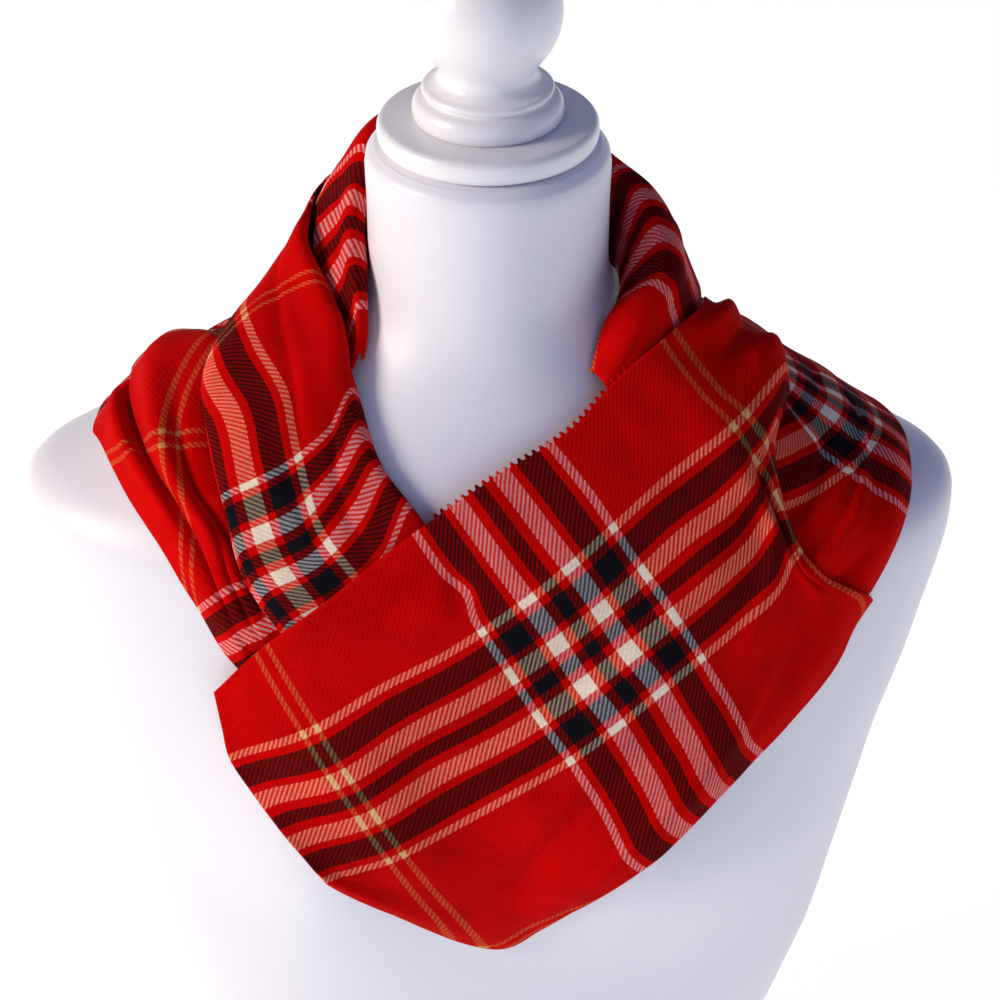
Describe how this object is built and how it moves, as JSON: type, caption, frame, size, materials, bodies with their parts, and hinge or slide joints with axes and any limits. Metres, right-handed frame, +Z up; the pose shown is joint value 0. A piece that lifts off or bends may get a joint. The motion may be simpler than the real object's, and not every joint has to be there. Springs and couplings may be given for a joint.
{
  "type": "cashmere scarf on a dress form",
  "caption": "Red checked cashmere scarf wound round the neck of a limbless dress form, its wide front fold crossing the chest up to one shoulder.",
  "frame": {"origin": "on the form's flat underside, below the axis of its neck", "axes": "+Z up, -Y the way the form's chest faces, +X towards the shoulder that is on the right in the picture"},
  "size_m": [0.424, 0.2618, 0.6731],
  "materials": {
    "cashmere": "brushed twill",
    "jersey": "smooth knit cover",
    "painted_wood": "white satin paint"
  },
  "bodies": {
    "root": {"front_panel": "cashmere", "right_shoulder": "cashmere", "back_drape": "cashmere", "left_drape": "cashmere", "neck_collar": "cashmere", "left_strap": "cashmere", "form_torso": "jersey", "neck_cap": "painted_wood", "neck_finial": "painted_wood"}
  },
  "joints": []
}
